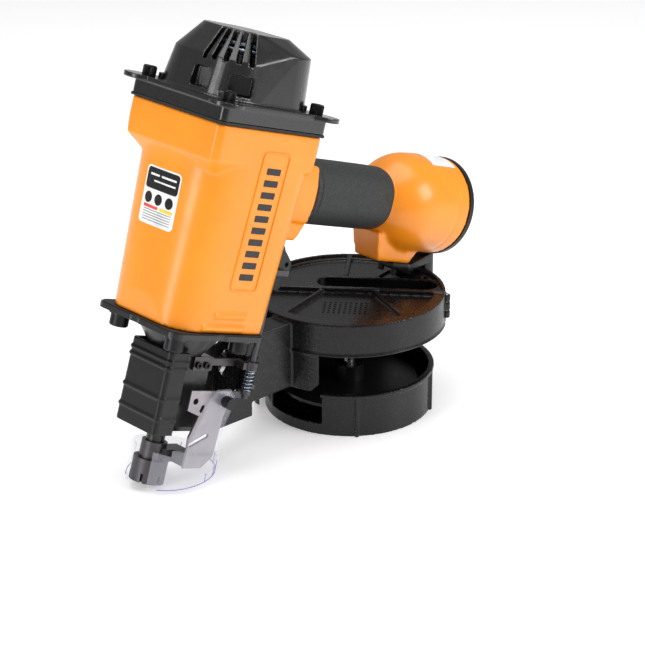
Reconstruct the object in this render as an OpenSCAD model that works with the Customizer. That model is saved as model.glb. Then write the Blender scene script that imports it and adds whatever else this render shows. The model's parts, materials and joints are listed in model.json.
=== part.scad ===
// Pneumatic coil nail gun, standing on its magazine and its nose.
// Two frames are used. The engine frame has the drive axis along +Z, the nose tip at its
// origin and the handle along +X. The standing frame is the finished part: the magazine
// is upright in it and the engine leans back by the magazine's angle.

/* [Stance] */
// Angle between the drive axis and the magazine axis
lean = 18.1; // [17.9:0.1:18.3]

/* [Engine housing] */
// Height of the housing's lower face above the nose tip
housing_z = 128; // [128:1:129]
// Height of the housing's upper face above the nose tip
housing_top = 277; // [276:1:277]
// Half width of the flared head under the cap
head_half = 50; // [49:0.5:51]
// Half width of the barrel at its foot
foot_half = 44; // [43.5:0.5:44.5]
// Half width of the barrel at its top, front to back
barrel_half = 46.5; // [46:0.5:47]
// Half width of the barrel at its top, side to side
side_half = 48.8; // [48:0.2:49]
// Radius of the bore that holds the cylinder sleeve
chamber_r = 38; // [37:0.5:38.5]

/* [Handle] */
// Height of the handle axis above the nose tip
handle_z = 230; // [229:1:231]
// Where the rubber grip starts behind the drive axis
grip_x = 85; // [84:1:87]
// Radius of the grip's rounded sides
grip_r = 22; // [21.5:0.5:23]
// Radius of the air chamber behind the grip
bulb_r = 38.2; // [37.5:0.1:39]
// Distance of the air chamber's rear face from the drive axis
bulb_end = 239.7; // [236:0.1:243]

/* [Drive] */
// Radius of the cylinder sleeve's bore
sleeve_r = 30; // [29:0.5:30]
// Radius of the driver blade
driver_r = 3.95; // [3.5:0.05:3.95]

/* [Nose] */
// Radius of the contact foot
foot_r = 13; // [12:0.5:13.5]
// Radius of the clear debris shield
shield_r = 32; // [31:0.5:33]

/* [Magazine] */
// Distance of the magazine axis behind the nose tip
drum_x = 210; // [209:1:211]
// Sideways distance of the magazine axis
drum_y = 4; // [3:0.5:5]
// Radius of the upper drum
drum_r = 75.5; // [75:0.5:76]
// Radius of the lower tub
tub_r = 67; // [66:0.5:67.5]
// Height of the tub's wall
tub_h = 34.5; // [32:0.5:36]
// Height of the lower edge of the upper drum
rim_z = 70; // [68:1:72]
// Height of the upper edge of the upper drum
top_z = 96; // [95:0.5:97]
// Direction of the seam between the cover and the fixed half of the drum
seam_angle = -48.7; // [-50:0.1:-47]

/* [Hidden] */
$fn = 64;
eps = 0.01;
hull_fn = 32;
// Middle of the finished part's length and width in the standing frame
mid_x = 153.1;
mid_y = 4.7;

// Colours
housing_yellow = [1.0, 0.62, 0.10];
cast_black = [0.05, 0.05, 0.06];
plastic_black = [0.08, 0.08, 0.09];
rubber_black = [0.13, 0.14, 0.14];
steel_dark = [0.30, 0.29, 0.30];
steel_bright = [0.70, 0.70, 0.72];
seal_black = [0.10, 0.10, 0.10];
clear_grey = [0.85, 0.88, 0.95, 0.35];
label_white = [0.95, 0.95, 0.95];

// Standing frame and engine frame
module standing() { translate([-mid_x, -mid_y, 0]) children(); }
module engine() { standing() rotate([0, lean, 0]) children(); }

// Four round corners of a slab, for a hull
module slab(half_x, half_y, r, z, t = 1) {
    for (sx = [-1, 1], sy = [-1, 1])
        translate([sx * (half_x - r), sy * (half_y - r), z])
            cylinder(r = r, h = t, $fn = hull_fn);
}
module corners(half, r, z, t = 1) { slab(half, half, r, z, t); }
module at_corners(d) { for (sx = [-1, 1], sy = [-1, 1]) translate([sx * d, sy * d, 0]) children(); }
module along_x(x0, x1, r, z) {
    translate([x0, 0, z]) rotate([0, 90, 0]) cylinder(r = r, h = x1 - x0);
}
// Stadium bar along X, the section of the handle
module stadium_x(x0, x1, r, rise) {
    along_x(x0, x1, r, handle_z + rise);
    along_x(x0, x1, r, handle_z - rise);
    translate([x0, -r, handle_z - rise]) cube([x1 - x0, 2 * r, 2 * rise]);
}
// Turned shape about the handle axis from points [x, r]
module turned_x(points) {
    translate([0, 0, handle_z]) rotate([0, 90, 0]) rotate([0, 0, 180]) rotate_extrude()
        polygon([for (p = points) [p[1], p[0]]]);
}
module ring(r_out, r_in, z0, z1) {
    translate([0, 0, z0]) difference() {
        cylinder(r = r_out, h = z1 - z0);
        translate([0, 0, -1]) cylinder(r = r_in, h = z1 - z0 + 2);
    }
}
// Compression spring drawn as a sleeve with the coil's ribs on it
module spring_sleeve(r_mid, wire, z0, z1, turns) {
    pitch = (z1 - z0) / turns;
    steps = [for (i = [0 : turns - 1]) z0 + i * pitch];
    outer = [for (z = steps) each [[r_mid + wire / 3, z], [r_mid + wire / 2, z + pitch / 2]]];
    rotate_extrude() polygon(concat([[r_mid - wire / 2, z0]], outer,
        [[r_mid + wire / 3, z1], [r_mid - wire / 2, z1]]));
}
// Socket head screw with its head above z = 0 and its shank below
module socket_screw(head_r, head_h, shank_r, shank_l) {
    difference() {
        cylinder(r = head_r, h = head_h);
        translate([0, 0, head_h * 0.45]) cylinder(r = head_r * 0.55, h = head_h, $fn = 6);
    }
    translate([0, 0, -shank_l]) cylinder(r = shank_r, h = shank_l + eps);
}

// ---------------------------------------------------------------- engine housing
cap_bolt_d = 42.8;
cap_bolt_r = 3;
nose_bolt_d = 31;
nose_bolt_r = 4;
bolt_clear = 0.05;
bulb_mid = 201;
trigger_x = 60;
trigger_z = 197;
trigger_half = 10;
valve_x = 74;
valve_r = 8;
foot_top = handle_z - 28;
foot_low = 183;
seat_z = 146;
seat_r = 33.05;
head_seat_z = 266;
head_seat_r = 41;
barrel_top = 235;
frame_x = [-4, 21];
frame_z = [33, 134];

// Outer and inner outline of the rear air chamber, points [x, r]
bulb_curve = [for (a = [24 : 11 : 90]) [bulb_mid - bulb_r * cos(a), bulb_r * sin(a)]];
bulb_outline = concat([[150, 0], [150, 15]], bulb_curve,
    [[226, bulb_r], [226.5, bulb_r - 0.5], [228, bulb_r - 0.5], [228.5, bulb_r],
     [bulb_end, bulb_r], [bulb_end, 0]]);
bulb_room = concat([[150, 0], [150, 12], [bulb_mid - 28, 14]],
    [for (a = [40 : 12.5 : 90]) [bulb_mid + 1 - (bulb_r - 5) * cos(a), (bulb_r - 5) * sin(a)]],
    [[bulb_end + 1, bulb_r - 5], [bulb_end + 1, 0]]);

module housing_shape() {
    hull() {
        corners(foot_half, 23, housing_z);
        slab(barrel_half, side_half, 26, barrel_top);
    }
    hull() {
        slab(barrel_half, side_half, 26, barrel_top);
        slab(head_half, head_half - 0.4, 4, 252);
    }
    hull() {
        slab(head_half, head_half - 0.4, 4, 252);
        corners(head_half, 4, 262);
        corners(head_half, 4, housing_top - 1);
    }
    hull() { corners(45.5, 8, housing_z); corners(43.5, 23, 151); }
    stadium_x(40, 162, grip_r - 4.5, 2.5);
    turned_x(bulb_outline);
}
module trigger_housing() {
    hull() {
        translate([40, -17, 206]) cube([44, 34, 8]);
        translate([40, -15, 194]) cube([42, 30, 8]);
    }
    hull() {
        translate([40, -19, handle_z - 20]) cube([1, 38, 44]);
        translate([grip_x - 1, -grip_r + 3, handle_z - 22]) cube([1, 2 * grip_r - 6, 44]);
    }
}
// Web from the air chamber down to the magazine
module rear_foot() {
    hull() {
        translate([172, -15, foot_top - 2]) cube([50, 30, 8]);
        translate([176, -13, foot_low]) cube([37, 26, 6]);
    }
}
// Frames on the barrel's left and front faces, with Z up the face and its foot at z = 0
module left_face() {
    slope = atan((side_half - foot_half) / (barrel_top + 1 - housing_z));
    translate([0, -foot_half, housing_z]) rotate([slope, 0, 0]) children();
}
module front_face() {
    slope = atan((barrel_half - foot_half) / (barrel_top + 1 - housing_z));
    translate([-foot_half, 0, housing_z]) rotate([0, -slope, 0]) children();
}
module side_frame() {
    w = frame_x[1] - frame_x[0];
    h = frame_z[1] - frame_z[0];
    left_face() translate([frame_x[0], -0.9, frame_z[0]]) difference() {
        cube([w, 5, h]);
        translate([1.6, -1, 1.6]) cube([w - 3.2, 1.8, h - 3.2]);
    }
}
module side_ridges() {
    for (p = [[-12, 142, 30, 44.7], [-20, 132.5, 40, 45.2]])
        translate([p[0], -p[3], p[1]]) rotate([0, 90, 0]) cylinder(r = 1.7, h = p[2]);
}
module body_casting() color(housing_yellow) engine() difference() {
    union() { housing_shape(); trigger_housing(); rear_foot(); side_frame(); side_ridges(); }
    translate([0, 0, housing_z - 1]) cylinder(r = seat_r, h = seat_z - housing_z + 2);
    translate([0, 0, seat_z]) cylinder(r = chamber_r, h = head_seat_z - seat_z + eps);
    translate([0, 0, head_seat_z]) cylinder(r = head_seat_r, h = 20);
    along_x(30, 160, 12, handle_z);
    turned_x(bulb_room);
    at_corners(cap_bolt_d) translate([0, 0, housing_top - 22])
        cylinder(r = cap_bolt_r + bolt_clear, h = 30);
    at_corners(nose_bolt_d) translate([0, 0, housing_z - 1])
        cylinder(r = nose_bolt_r + bolt_clear, h = 18);
    translate([valve_x, 0, 203]) cylinder(r = valve_r + bolt_clear, h = 20);
    translate([trigger_x - 10, -trigger_half - 2.5, 190])
        cube([30, 2 * trigger_half + 5, 15.5]);
    translate([trigger_x, 0, trigger_z]) rotate([90, 0, 0])
        cylinder(r = 2.05, h = 60, center = true);
    for (sy = [-1, 1]) translate([204, sy * 7, foot_low - 1]) cylinder(r = 2.55, h = 15);
}

// ---------------------------------------------------------------- cap
flange_z = 289;
flange_t = 3.5;
cap_top = 339;
valve_bore_r = 36;
ear_r = 13;
ear_d = 46;
skirt_z = housing_top + 1.8;
module cap_dome() {
    hull() {
        for (sy = [-1, 1]) {
            translate([-17, sy * 15, flange_z]) cylinder(r = 29, h = 1, $fn = 48);
            translate([17, sy * 17, flange_z]) cylinder(r = 28, h = 1, $fn = 48);
            translate([-14, sy * 14, 318]) cylinder(r = 27, h = 1, $fn = 48);
            translate([16, sy * 15, 328]) cylinder(r = 27, h = 1, $fn = 48);
            translate([-8, sy * 10, cap_top - 1]) cylinder(r = 18, h = 1, $fn = 48);
            translate([10, sy * 11, cap_top - 1]) cylinder(r = 16, h = 1, $fn = 48);
        }
    }
}
module cap_slots() {
    for (i = [0 : 4]) rotate([0, 0, 192 + i * 11.5])
        translate([31, -1.9, 311]) rotate([0, -22, 0]) cube([24, 3.8, 40]);
}
module exhaust_ports() {
    for (a = [195, 232]) rotate([0, 0, a]) {
        translate([37.2, -8.5, 296]) cube([20, 17, 11.5]);
        translate([37.2, 0, 0]) rotate([0, 90, 0]) rotate([0, 0, 90])
            for (sy = [-1, 1]) translate([sy * 6, 307.5, 0]) cylinder(r = 2.5, h = 20);
        translate([37.2, -6, 306]) cube([20, 12, 4]);
    }
}
module cylinder_cap() color(cast_black) engine() difference() {
    union() {
        hull() { corners(50.3, 5, skirt_z); corners(50.3, 5, flange_z); }
        hull() at_corners(ear_d - 4) translate([0, 0, flange_z])
            cylinder(r = 9, h = flange_t, $fn = hull_fn);
        at_corners(ear_d) translate([0, 0, flange_z]) cylinder(r = ear_r, h = flange_t);
        cap_dome();
        at_corners(31) translate([0, 0, flange_z]) cylinder(r = 10, h = flange_t + 4);
        translate([33, 9, 326]) cube([6, 7, 9]);
    }
    translate([0, 0, skirt_z - 1]) cylinder(r = 45, h = 4);
    translate([0, 0, skirt_z]) cylinder(r = valve_bore_r, h = 34);
    translate([0, 0, skirt_z + 33]) cylinder(r = 26, h = 20);
    at_corners(cap_bolt_d) translate([0, 0, skirt_z - 1])
        cylinder(r = cap_bolt_r + bolt_clear, h = 30);
    at_corners(cap_bolt_d) translate([0, 0, flange_z + flange_t]) cylinder(r = 5.4, h = 12);
    cap_slots();
    exhaust_ports();
}
module cap_gasket() color(seal_black) engine() difference() {
    hull() corners(51, 5, housing_top, skirt_z - housing_top);
    translate([0, 0, housing_top - 1]) cylinder(r = 45, h = 4);
    at_corners(cap_bolt_d) translate([0, 0, housing_top - 1])
        cylinder(r = cap_bolt_r + bolt_clear, h = 4);
}
module cap_bolts() color(cast_black) engine()
    at_corners(cap_bolt_d) translate([0, 0, flange_z + flange_t])
        socket_screw(5, 7, cap_bolt_r, 34);

// ---------------------------------------------------------------- drive parts
sleeve_wall = 3;
sleeve_low = 160;
sleeve_top = 274;
piston_z = 258;
piston_h = 14;
driver_low = 112;
module cylinder_sleeve() color(steel_bright) engine() {
    difference() {
        union() {
            ring(sleeve_r + sleeve_wall, sleeve_r, seat_z - 13, sleeve_top);
            ring(head_seat_r - 0.05, sleeve_r, head_seat_z + 0.2, sleeve_top - 2);
        }
        for (a = [0 : 45 : 315]) rotate([0, 0, a]) translate([0, 0, sleeve_low + 4])
            rotate([0, 90, 0]) cylinder(r = 2.5, h = 50);
    }
}
module sleeve_seals() color(seal_black) engine() {
    ring(chamber_r - 0.05, sleeve_r + sleeve_wall + 0.05, head_seat_z - 2.2,
        head_seat_z + 0.1);
}
module piston() color(steel_bright) engine() difference() {
    translate([0, 0, piston_z]) cylinder(r = sleeve_r - 0.05, h = piston_h);
    ring(sleeve_r + 2, sleeve_r - 3, piston_z + 5, piston_z + 8.5);
    translate([0, 0, piston_z + 9]) cylinder(r = 20, h = piston_h);
    translate([0, 0, piston_z - 1]) cylinder(r = driver_r, h = 8);
}
module piston_ring() color(seal_black) engine()
    ring(sleeve_r - 0.03, sleeve_r - 2.98, piston_z + 5.05, piston_z + 8.45);
module driver_blade() color(steel_dark) engine()
    translate([0, 0, driver_low]) cylinder(r = driver_r, h = piston_z + 6.9 - driver_low);
module bumper() color(rubber_black) engine() difference() {
    union() {
        translate([0, 0, housing_z + 0.3]) cylinder(r = sleeve_r - 1.5, h = 14);
        translate([0, 0, housing_z + 14]) cylinder(r1 = sleeve_r - 3, r2 = 16, h = 13);
    }
    translate([0, 0, housing_z - 1]) cylinder(r = driver_r + 0.6, h = 40);
}
module head_valve() color(steel_bright) engine() difference() {
    union() {
        translate([0, 0, sleeve_top + 1]) cylinder(r = valve_bore_r - 0.05, h = 18);
        translate([0, 0, sleeve_top + 19]) cylinder(r = 16, h = 8);
    }
    ring(valve_bore_r + 2, valve_bore_r - 3, sleeve_top + 8, sleeve_top + 11);
    translate([0, 0, sleeve_top]) cylinder(r = 13, h = 40);
}
module head_valve_seal() color(seal_black) engine()
    ring(valve_bore_r - 0.03, valve_bore_r - 2.95, sleeve_top + 8.05, sleeve_top + 10.95);
module head_valve_spring() color(steel_dark) engine()
    spring_sleeve(20, 3, sleeve_top + 19.2, skirt_z + 52.6, 6);

// ---------------------------------------------------------------- handle parts
module handle_grip() color(rubber_black) engine() difference() {
    stadium_x(grip_x, 178, grip_r, 2.5);
    stadium_x(grip_x - 1, 190, grip_r - 4.45, 2.5);
    turned_x([for (p = bulb_outline) [p[0] == 150 ? 150 : p[0] - 0.05, p[1] + 0.05]]);
}
end_screw_d = 33;
module end_cap() color(cast_black) engine() difference() {
    union() {
        along_x(bulb_end, bulb_end + 4, bulb_r + 0.5, handle_z);
        along_x(bulb_end - 8, bulb_end + 1, bulb_r - 5.1, handle_z);
        along_x(bulb_end + 3, bulb_end + 10, 17, handle_z);
    }
    translate([bulb_end - 6.5, 0, handle_z]) rotate([0, 90, 0])
        ring(bulb_r, bulb_r - 7.6, 0, 3);
    along_x(bulb_end - 10, bulb_end + 12, 10, handle_z);
    for (a = [45 : 90 : 315]) translate([bulb_end - 10, 0, handle_z]) rotate([a, 0, 0])
        translate([0, 0, 25]) rotate([0, 90, 0]) cylinder(r = 2.05, h = 20);
}
module end_cap_seal() color(seal_black) engine()
    translate([bulb_end - 6.45, 0, handle_z]) rotate([0, 90, 0])
        ring(bulb_r - 5.05, bulb_r - 7.55, 0, 2.9);
module end_cap_screws() color(steel_dark) engine()
    for (a = [45 : 90 : 315]) translate([bulb_end + 4, 0, handle_z]) rotate([a, 0, 0])
        translate([0, 0, 25]) rotate([0, 90, 0]) socket_screw(3.5, 3.5, 2, 11);
inlet_r = 5.9;
inlet_len = 16;
module inlet_bushing() color(steel_bright) engine() difference() {
    union() {
        along_x(bulb_end - 8, bulb_end + 10, 9.95, handle_z);
        translate([bulb_end + 10, 0, handle_z]) rotate([0, 90, 0])
            cylinder(r = 12, h = 5, $fn = 6);
    }
    along_x(bulb_end + 15 - inlet_len, bulb_end + 16, inlet_r, handle_z);
    along_x(bulb_end - 9, bulb_end + 5, 4, handle_z);
}

// ---------------------------------------------------------------- trigger group
module trigger() color(rubber_black) engine() difference() {
    union() {
        difference() {
            trigger_shape();
            translate([valve_x, 0, 190.2]) cylinder(r = 3.6, h = 20);
        }
        translate([valve_x, 0, 190.2]) rotate([90, 0, 0])
            cylinder(r = 1.8, h = 8, center = true);
    }
    translate([trigger_x, 0, trigger_z]) rotate([90, 0, 0])
        cylinder(r = 2.05, h = 60, center = true);
    translate([82.5, 0, 174.5]) rotate([90, 0, 0]) cylinder(r = 1.8, h = 60, center = true);
}
module trigger_shape() {
    hull() {
        translate([trigger_x, 0, trigger_z]) rotate([90, 0, 0])
            cylinder(r = 4.5, h = 18, center = true, $fn = hull_fn);
        translate([73, 0, 184]) rotate([90, 0, 0])
            cylinder(r = 6, h = 18, center = true, $fn = hull_fn);
    }
    hull() {
        translate([72, 0, 183]) rotate([90, 0, 0])
            cylinder(r = 6, h = 20, center = true, $fn = hull_fn);
        translate([80, 0, 173]) rotate([90, 0, 0])
            cylinder(r = 7.5, h = 20, center = true, $fn = hull_fn);
    }
    hull() {
        translate([79, 0, 172]) rotate([90, 0, 0])
            cylinder(r = 7, h = 14, center = true, $fn = hull_fn);
        translate([81, 0, 158]) rotate([90, 0, 0])
            cylinder(r = 4.5, h = 12, center = true, $fn = hull_fn);
    }
}
module trigger_pin() color(steel_bright) engine()
    translate([trigger_x, 0, trigger_z]) rotate([90, 0, 0])
        cylinder(r = 2, h = 29, center = true);
stem_low = 192.5;
module trigger_valve_body() color(plastic_black) engine() translate([valve_x, 0, 0])
    difference() {
        translate([0, 0, 205.6]) cylinder(r = valve_r, h = 17.4);
        translate([0, 0, 200]) cylinder(r = 2.05, h = 12);
        translate([0, 0, 209]) cylinder(r = 5, h = 12.6);
    }
module trigger_valve_stem() color(steel_bright) engine() translate([valve_x, 0, 0]) {
    translate([0, 0, stem_low]) cylinder(r = 2, h = 20);
    translate([0, 0, 210]) cylinder(r = 4, h = 2);
}
module trigger_valve_spring() color(steel_dark) engine() translate([valve_x, 0, 0])
    spring_sleeve(3.4, 1, 212.1, 221.5, 6);

// ---------------------------------------------------------------- nose
nose_flange_z = housing_z - 4.6;
nose_gasket_t = 0.8;
block_low = 46;
neck_z = 104;
tube_low = 14;
tube_r = 6.93;
slot_w = 9;
guide_x = 53;
guide_y = -27;
rod_r = 2.5;
module nose_flange() {
    difference() {
        hull() at_corners(36) translate([0, 0, nose_flange_z])
            cylinder(r = 9, h = 3.8, $fn = hull_fn);
        for (a = [0 : 90 : 270]) rotate([0, 0, a]) translate([58, 0, nose_flange_z - 1])
            cylinder(r = 14, h = 6);
    }
}
module nose_casting() color(cast_black) engine() difference() {
    union() {
        nose_flange();
        translate([0, 0, neck_z]) cylinder(r1 = 19, r2 = 33, h = nose_flange_z - neck_z + eps);
        at_corners(nose_bolt_d) translate([0, 0, nose_flange_z - 2.6])
            cylinder(r = 8.6, h = 3);
    }
    translate([0, 0, neck_z - 1]) cylinder(r = driver_r + 0.05, h = 40);
    translate([0, 0, nose_flange_z + 1.5]) cylinder(r = 25, h = 10);
    at_corners(nose_bolt_d) translate([0, 0, nose_flange_z - 6])
        cylinder(r = nose_bolt_r + bolt_clear, h = 12);
}
// Hardened block that holds the next nail under the driver, with the nose tube
module drive_guide() color(cast_black) engine() difference() {
    union() {
        hull() {
            translate([-18, -16, block_low + 4]) cube([40, 32, neck_z - block_low - 4]);
            translate([-14, -13, block_low]) cube([34, 26, neck_z - block_low]);
        }
        translate([0, 0, tube_low]) cylinder(r = tube_r, h = block_low);
    }
    translate([0, 0, tube_low - 1]) cylinder(r = driver_r + 0.05, h = 130);
    translate([0, -slot_w / 2, 44]) cube([30, slot_w, neck_z]);
    translate([1, 0, feed_z - 3]) cube([30, 30, 6]);
    for (z = [-6.5, 6.5]) translate([5, 0, feed_z + z]) rotate([-90, 0, 0])
        cylinder(r = 2.05, h = 17);
    for (x = [8, 16]) translate([x, 0, 98]) rotate([90, 0, 0]) cylinder(r = 1.55, h = 17);
}
module nose_gasket() color(seal_black) engine() difference() {
    hull() corners(44, 9, housing_z - nose_gasket_t, nose_gasket_t);
    translate([0, 0, housing_z - 2]) cylinder(r = 29, h = 4);
    at_corners(nose_bolt_d) translate([0, 0, housing_z - 2])
        cylinder(r = nose_bolt_r + bolt_clear, h = 4);
}
module nose_bolts() color(cast_black) engine()
    at_corners(nose_bolt_d) translate([0, 0, nose_flange_z - 2.6]) mirror([0, 0, 1])
        socket_screw(7, 9, nose_bolt_r, 20);

guard_low = 46;
guard_top = 108;
module nose_guard() color(plastic_black) engine() difference() {
    union() {
        translate([0, 0, guard_low]) linear_extrude(guard_top - guard_low) guard_outline(0);
        for (z = [57, 72, 94.8, 99.8]) translate([0, 0, z]) linear_extrude(2)
            guard_outline(1.1);
    }
    translate([-22, -21, guard_low - 1]) cube([30, 39, guard_top]);
    translate([0, 0, neck_z]) cylinder(r1 = 19.3, r2 = 33.3, h = nose_flange_z - neck_z);
}
module guard_outline(grow) {
    r = 4 + grow;
    hull() {
        translate([-21, -20]) circle(r = r);
        translate([-21, 17]) circle(r = r);
        translate([-10, -24 - grow]) square([3, 45 + 2 * grow]);
    }
}

// ---------------------------------------------------------------- contact trip
tip_z = foot_r * tan(lean);
plate_y = -26.8;
plate_t = 2;
knob_x = 33;
knob_z = 74;
shield_x = 22;
shield_t = 1.8;
shield_top = 34;
shield_gap = 3.5;
module contact_foot() color(steel_dark) engine() difference() {
    union() {
        translate([0, 0, tip_z]) cylinder(r = foot_r, h = 22 - tip_z);
        translate([0, 0, 21]) cylinder(r = 9.5, h = 14);
        translate([0, -14, 23]) cube([22, 14, 9]);
        translate([8, plate_y + plate_t, 23]) cube([14, 14, 9]);
    }
    translate([0, 0, -1]) cylinder(r = 7, h = 60);
    for (a = [30 : 60 : 330]) rotate([0, 0, a]) translate([9.5, -1, tip_z - 1])
        cube([10, 2, 8]);
}
module trip_plate() color(steel_dark) engine() difference() {
    translate([0, plate_y, 0]) rotate([90, 0, 0]) mirror([0, 0, 1]) linear_extrude(plate_t)
        difference() {
            polygon([[8, 22], [25, 22], [34, 30], [35, 36], [36, 60], [38, 70], [38, 81],
                     [0, 81], [0, 66], [12, 62], [7, 45], [8, 36]]);
            translate([6, 73]) circle(r = 2.4);
            hull() {
                translate([13, 66]) circle(r = 1.5);
                translate([14, 69]) circle(r = 1.5);
            }
            hull() {
                translate([10, 40]) circle(r = 1.8);
                translate([24, 47]) circle(r = 1.8);
            }
        }
    translate([knob_x, 0, knob_z]) rotate([90, 0, 0]) cylinder(r = 2.5, h = 60);
}
module trip_rod() color(steel_dark) engine() {
    translate([guide_x, guide_y, 76]) cylinder(r = rod_r, h = 98);
    translate([guide_x, guide_y, 79]) cylinder(r = 4, h = 3);
    translate([38, plate_y, 76]) cube([guide_x - 38, plate_t, 5]);
    translate([guide_x - 2, guide_y - 2, 170]) cube([16, 4, 4]);
    translate([guide_x + 10, guide_y - 2, 170]) cube([4, 17, 4]);
}
module trip_spring() color(steel_dark) engine() translate([guide_x, guide_y, 0])
    spring_sleeve(3.4, 1, 82.1, 97.8, 7);
module shield_knob() color(cast_black) engine() {
    translate([knob_x, plate_y - 2.6, knob_z]) rotate([90, 0, 0]) cylinder(r = 4.6, h = 7);
    translate([knob_x, plate_y + plate_t, knob_z]) rotate([90, 0, 0])
        cylinder(r = 2.45, h = plate_t + 2.7);
}
module debris_shield() color(clear_grey) engine() difference() {
    union() {
        translate([shield_x, 0, 0]) cylinder(r = shield_r, h = shield_top);
        translate([0, plate_y - 0.4, 0]) rotate([90, 0, 0]) linear_extrude(2)
            polygon([[4, 28], [18, 76], [24, 82], [36, 83], [41, 78], [41, 68], [37, 55],
                     [36, 44], [41, 28]]);
    }
    translate([shield_x, 0, -1]) cylinder(r = shield_r - shield_t, h = shield_top - 1);
    cylinder(r = foot_r + 0.1, h = 60);
    translate([6, plate_y - 0.1, 20]) cube([33, 8, 70]);
    translate([0, 0, shield_top - 4]) cylinder(r = 16, h = 20);
    translate([-20, -22, shield_top - 5]) cube([90, 70, 20]);
    rotate([0, -lean, 0]) translate([-60, -60, -60]) cube([200, 120, 60 + shield_gap]);
    translate([knob_x, 0, knob_z]) rotate([90, 0, 0]) cylinder(r = 2.5, h = 60);
}
module trip_guide() color(steel_dark) engine() difference() {
    union() {
        translate([guide_x, guide_y, 98]) cylinder(r = 5, h = 6);
        translate([4, -18.5, 94]) cube([18, 2.5, 10]);
        translate([18, -18.5, 98]) cube([30, 2.5, 5]);
        translate([44, -28, 98]) cube([6, 12, 5]);
    }
    translate([guide_x, guide_y, 90]) cylinder(r = rod_r + 0.05, h = 30);
    for (x = [8, 16]) translate([x, 0, 98]) rotate([90, 0, 0]) cylinder(r = 1.55, h = 30);
}
module trip_guide_screws() color(steel_dark) engine()
    for (x = [8, 16]) translate([x, -18.5, 98]) rotate([90, 0, 0])
        socket_screw(2.6, 2, 1.5, 12);

// ---------------------------------------------------------------- feed system
feed_y = 27;
feed_z = 88;
feed_r = 10.5;
feed_x = 32;
feed_len = 34;
piston_x = 37;
pawl_x = 12.5;
pawl_y = feed_y - 1.5;
module feed_cylinder() color(cast_black) engine() difference() {
    union() {
        translate([feed_x, feed_y, feed_z]) rotate([0, 90, 0]) cylinder(r = feed_r, h = feed_len);
        translate([0, 16, feed_z - 10]) cube([feed_x + 4, 3.2, 20]);
    }
    translate([feed_x + 4, feed_y, feed_z]) rotate([0, 90, 0]) cylinder(r = 8, h = 40);
    translate([feed_x - 5, feed_y, feed_z]) rotate([0, 90, 0]) cylinder(r = 3.05, h = 20);
    for (z = [-6.5, 6.5]) translate([5, 0, feed_z + z]) rotate([-90, 0, 0])
        cylinder(r = 2.05, h = 30);
    translate([1, 10, feed_z - 3]) cube([28, 20, 6]);
}
module feed_screws() color(steel_dark) engine()
    for (z = [-6.5, 6.5]) translate([5, 19.2, feed_z + z]) rotate([-90, 0, 0])
        socket_screw(3.4, 3, 2, 13);
module feed_cylinder_cap() color(steel_bright) engine() {
    translate([feed_x + feed_len, feed_y, feed_z]) rotate([0, 90, 0])
        cylinder(r = feed_r, h = 4);
    translate([feed_x + feed_len - 5, feed_y, feed_z]) rotate([0, 90, 0])
        cylinder(r = 7.95, h = 5 + eps);
    translate([feed_x + feed_len + 4 - eps, feed_y, feed_z]) rotate([0, 90, 0])
        cylinder(r = 5, h = 3, $fn = 6);
}
module feed_piston() color(steel_bright) engine() difference() {
    union() {
        translate([piston_x, feed_y, feed_z]) rotate([0, 90, 0]) cylinder(r = 7.95, h = 7);
        translate([14, feed_y, feed_z]) rotate([0, 90, 0]) cylinder(r = 3, h = 24);
        translate([10, feed_y - 4.5, feed_z - 4.5]) cube([8, 9, 9]);
    }
    translate([8, feed_y - 8, feed_z - 2.3]) cube([8, 20, 4.6]);
    translate([pawl_x, pawl_y, feed_z - 10]) cylinder(r = 1.55, h = 20);
}
module feed_spring() color(steel_dark) engine() translate([0, feed_y, feed_z])
    rotate([0, 90, 0]) spring_sleeve(6, 1.6, piston_x + 7.2, feed_x + feed_len - 5.2, 6);
module feed_pawl() color(steel_dark) engine() difference() {
    union() {
        translate([pawl_x, pawl_y, feed_z - 2]) cylinder(r = 2.9, h = 4);
        translate([pawl_x - 1.5, 6, feed_z - 2]) cube([3, pawl_y - 8, 4]);
    }
    translate([pawl_x, pawl_y, feed_z - 5]) cylinder(r = 1.55, h = 20);
}
module pawl_pin() color(steel_bright) engine()
    translate([pawl_x, pawl_y, feed_z - 4.4]) cylinder(r = 1.5, h = 8.8);

// ---------------------------------------------------------------- magazine
wall = 3;
deck_z = top_z - 6;
deck_t = 3;
hinge_u = drum_r + 0.6;
knuckle_r = 3.2;
hinge_pin_r = 1.5;
hinge_bore_r = hinge_pin_r + 0.05;
rear_boss = 81;
seam_gap = 0.4;
module drum() { standing() translate([drum_x, drum_y, 0]) children(); }
// Frame with X along the seam, towards the hinge, and +Y on the fixed side
module seam() { drum() rotate([0, 0, seam_angle]) children(); }
module fixed_half(z0, z1) {
    translate([-120, seam_gap / 2, z0]) cube([240, 130, z1 - z0]);
}
module cover_half(z0, z1) {
    translate([-120, -130 - seam_gap / 2, z0]) cube([240, 130, z1 - z0]);
}
// Deck, rim and lip of the upper drum, shared by both halves
module drum_shell() {
    ring(drum_r, drum_r - wall, rim_z, top_z);
    ring(drum_r + 0.7, drum_r - wall, rim_z, rim_z + 1.6);
    translate([0, 0, deck_z]) cylinder(r = drum_r - 1, h = deck_t);
}
module rib(x0, y0, x1, y1, w, z0, z1) {
    len = norm([x1 - x0, y1 - y0]);
    translate([x0, y0, z0]) rotate([0, 0, atan2(y1 - y0, x1 - x0)])
        translate([0, -w / 2, 0]) cube([len, w, z1 - z0]);
}
slot_v = 16;
slot_half = 10;
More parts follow.
